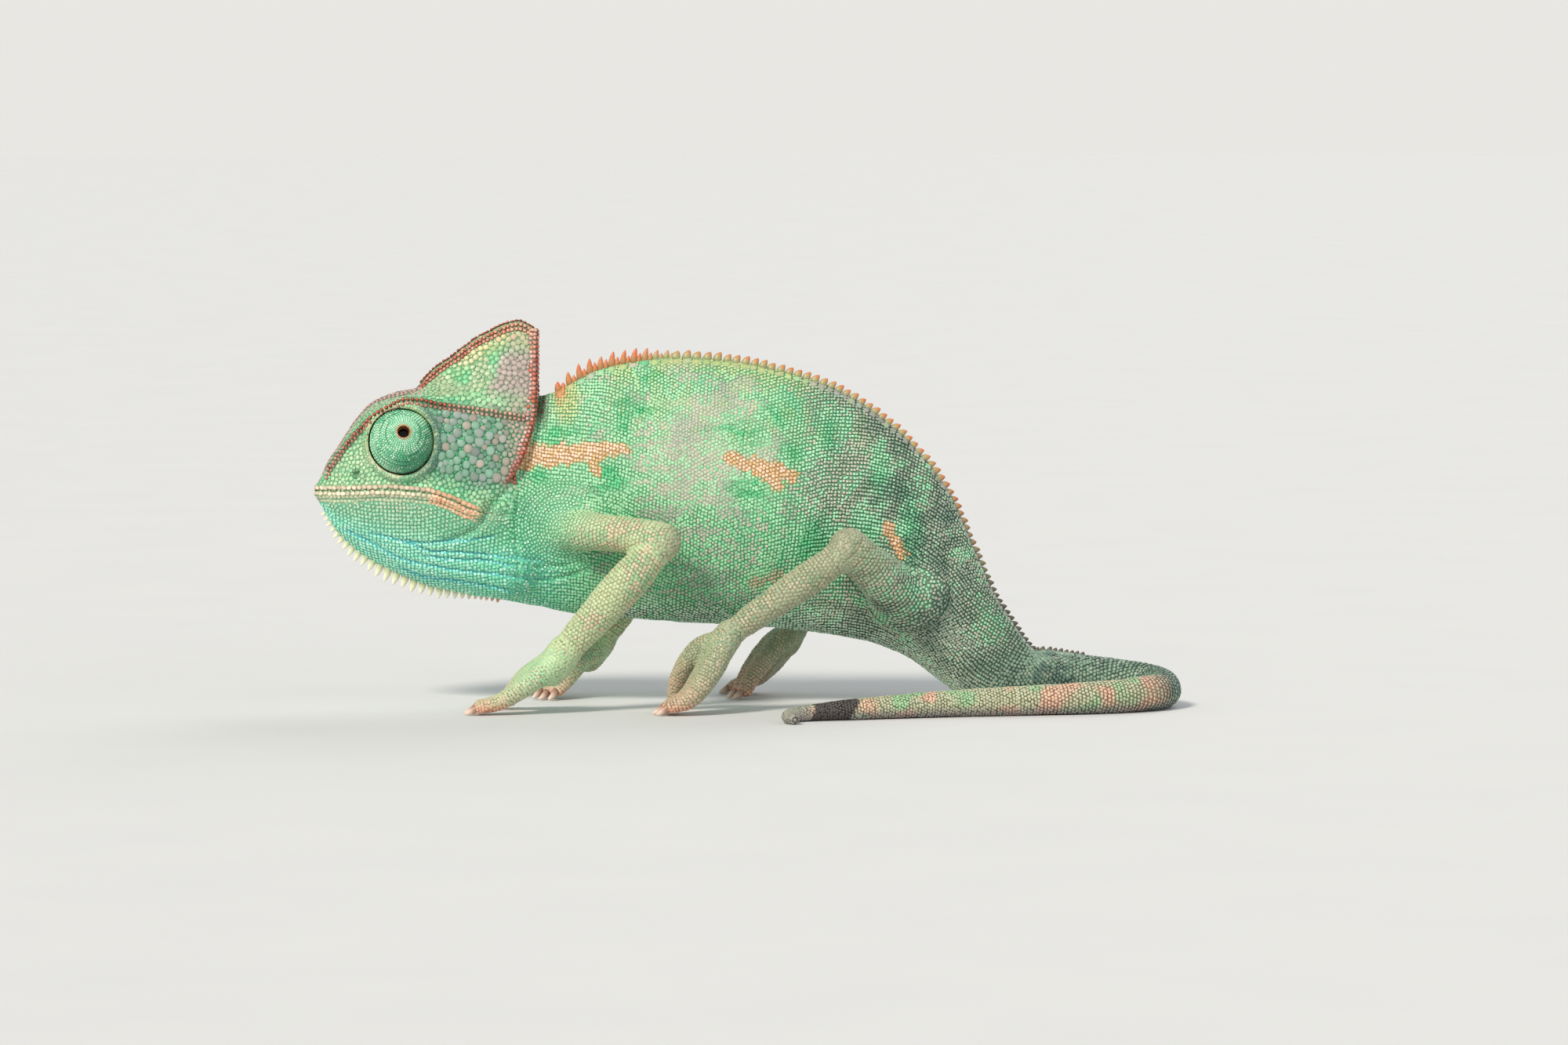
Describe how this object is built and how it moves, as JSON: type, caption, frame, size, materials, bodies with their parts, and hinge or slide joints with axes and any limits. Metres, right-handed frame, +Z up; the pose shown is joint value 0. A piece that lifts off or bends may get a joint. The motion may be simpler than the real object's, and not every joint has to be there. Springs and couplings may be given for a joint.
{
  "type": "veiled chameleon",
  "caption": "Young veiled chameleon as a life-size still model, standing on its grasping feet with its tail laid round on the floor.",
  "frame": {"origin": "centre of the bounding box's base, on the floor that the feet and tail rest on", "axes": "+X from the head towards the tail, +Y towards the animal's right side, +Z up"},
  "size_m": [0.083, 0.0332, 0.0368],
  "materials": {
    "casque_skin": "granular reptile skin, matt with a slight sheen on each scale",
    "head_skin": "granular reptile skin, matt with a slight sheen on each scale",
    "throat_skin": "fine granular reptile skin with cream cone scales",
    "turret_skin": "very fine granular reptile skin in rings",
    "eye": "wet gloss",
    "body_skin": "granular reptile skin, matt with a slight sheen on each scale",
    "limb_skin": "granular reptile skin, matt with a slight sheen on each scale",
    "tail_skin": "granular reptile skin, matt with a slight sheen on each scale"
  },
  "bodies": {
    "root": {"casque": "casque_skin", "head": "head_skin", "lower_jaw": "throat_skin", "eyelid_left": "turret_skin", "eyelid_right": "turret_skin", "eye_left": "eye", "eye_right": "eye", "neck": "body_skin", "torso": "body_skin", "upper_arm_left": "limb_skin", "upper_arm_right": "limb_skin", "forearm_left": "limb_skin", "forearm_right": "limb_skin", "forefoot_left": "limb_skin", "forefoot_right": "limb_skin", "thigh_left": "limb_skin", "thigh_right": "limb_skin", "shin_left": "limb_skin", "shin_right": "limb_skin", "hindfoot_left": "limb_skin", "hindfoot_right": "limb_skin", "tail_1": "tail_skin", "tail_2": "tail_skin", "tail_3": "tail_skin", "tail_4": "tail_skin", "tail_5": "tail_skin"}
  },
  "joints": []
}
